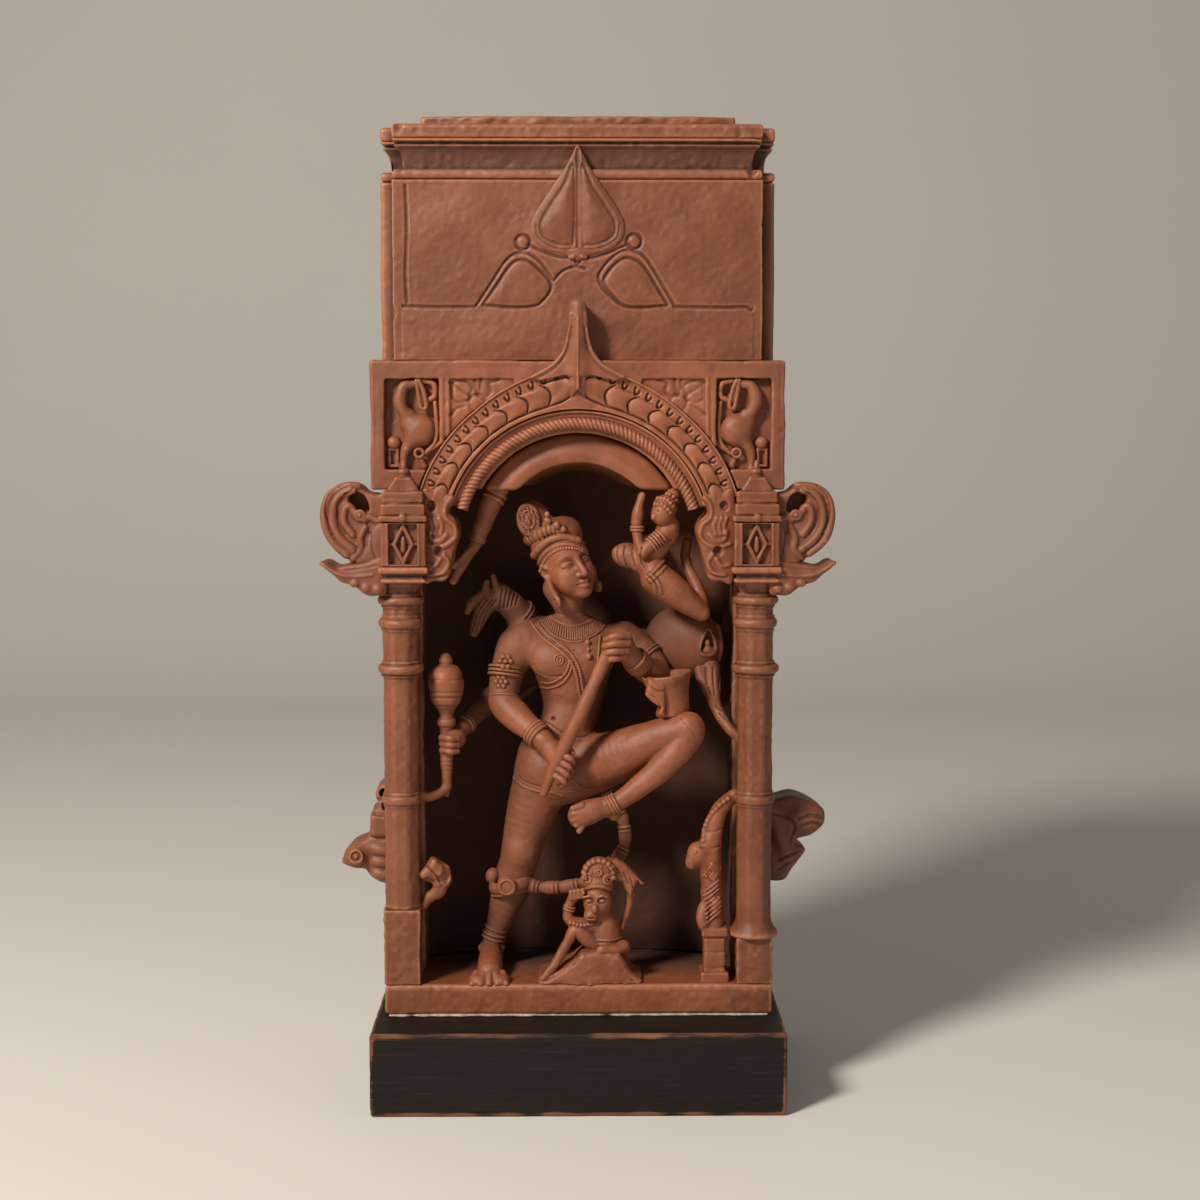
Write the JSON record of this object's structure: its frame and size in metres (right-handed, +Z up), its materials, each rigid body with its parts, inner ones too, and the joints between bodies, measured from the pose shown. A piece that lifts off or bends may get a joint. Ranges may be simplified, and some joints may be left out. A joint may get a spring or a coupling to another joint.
{
  "type": "terracotta niche relief",
  "caption": "Terracotta relief of a figure with one leg raised, in an arched niche between columns under a stepped block, on a dark wooden plinth.",
  "frame": {"origin": "centre of the plinth's underside", "axes": "+Z up, +Y from the relief's face towards its back, +X to the right as seen from the front"},
  "size_m": [0.309, 0.17, 0.5993],
  "materials": {
    "terracotta": "unglazed fired clay, matt, burnished by handling on the highest forms",
    "plinth": "ebonised, worn brown along the edges",
    "bedding": "matt gypsum plaster",
    "pins": "plain round bar"
  },
  "bodies": {
    "root": {"mounting_pin_left": "pins", "mounting_pin_right": "pins", "wooden_plinth": "plinth", "plaster_bedding": "bedding", "foot_slab": "terracotta", "back_slab": "terracotta", "left_side_wall": "terracotta", "right_side_wall": "terracotta", "left_column_base": "terracotta", "right_column_base": "terracotta", "left_column": "terracotta", "right_column": "terracotta", "arch_panel": "terracotta", "left_abacus": "terracotta", "left_lantern": "terracotta", "left_lantern_roof": "terracotta", "right_abacus": "terracotta", "right_lantern": "terracotta", "right_lantern_roof": "terracotta", "upper_block": "terracotta", "arch_finial": "terracotta", "arch_rope_band": "terracotta", "arch_scale_band": "terracotta", "niche_hood": "terracotta", "lower_cornice": "terracotta", "upper_cornice": "terracotta", "top_course": "terracotta", "centre_bud": "terracotta", "left_eave": "terracotta", "left_outer_scroll": "terracotta", "left_inner_scroll": "terracotta", "right_eave": "terracotta", "right_outer_scroll": "terracotta", "right_inner_scroll": "terracotta", "left_spandrel_beast": "terracotta", "right_spandrel_beast": "terracotta", "left_side_attendant": "terracotta", "right_side_attendant": "terracotta", "standing_leg": "terracotta", "figure_torso": "terracotta", "raised_leg": "terracotta", "figure_head": "terracotta", "lowered_arm": "terracotta", "staff_arm": "terracotta", "sleeve_arm": "terracotta", "mace": "terracotta", "mace_arm": "terracotta", "shield_arm": "terracotta", "staff": "terracotta", "shield": "terracotta", "offering_bowl": "terracotta", "shield_strut": "terracotta", "flying_attendant": "terracotta", "broken_attendant_leg": "terracotta", "rock_mound": "terracotta", "rearing_beast": "terracotta", "crouching_attendant": "terracotta", "long_garland": "terracotta", "column_stub": "terracotta"}
  },
  "joints": []
}
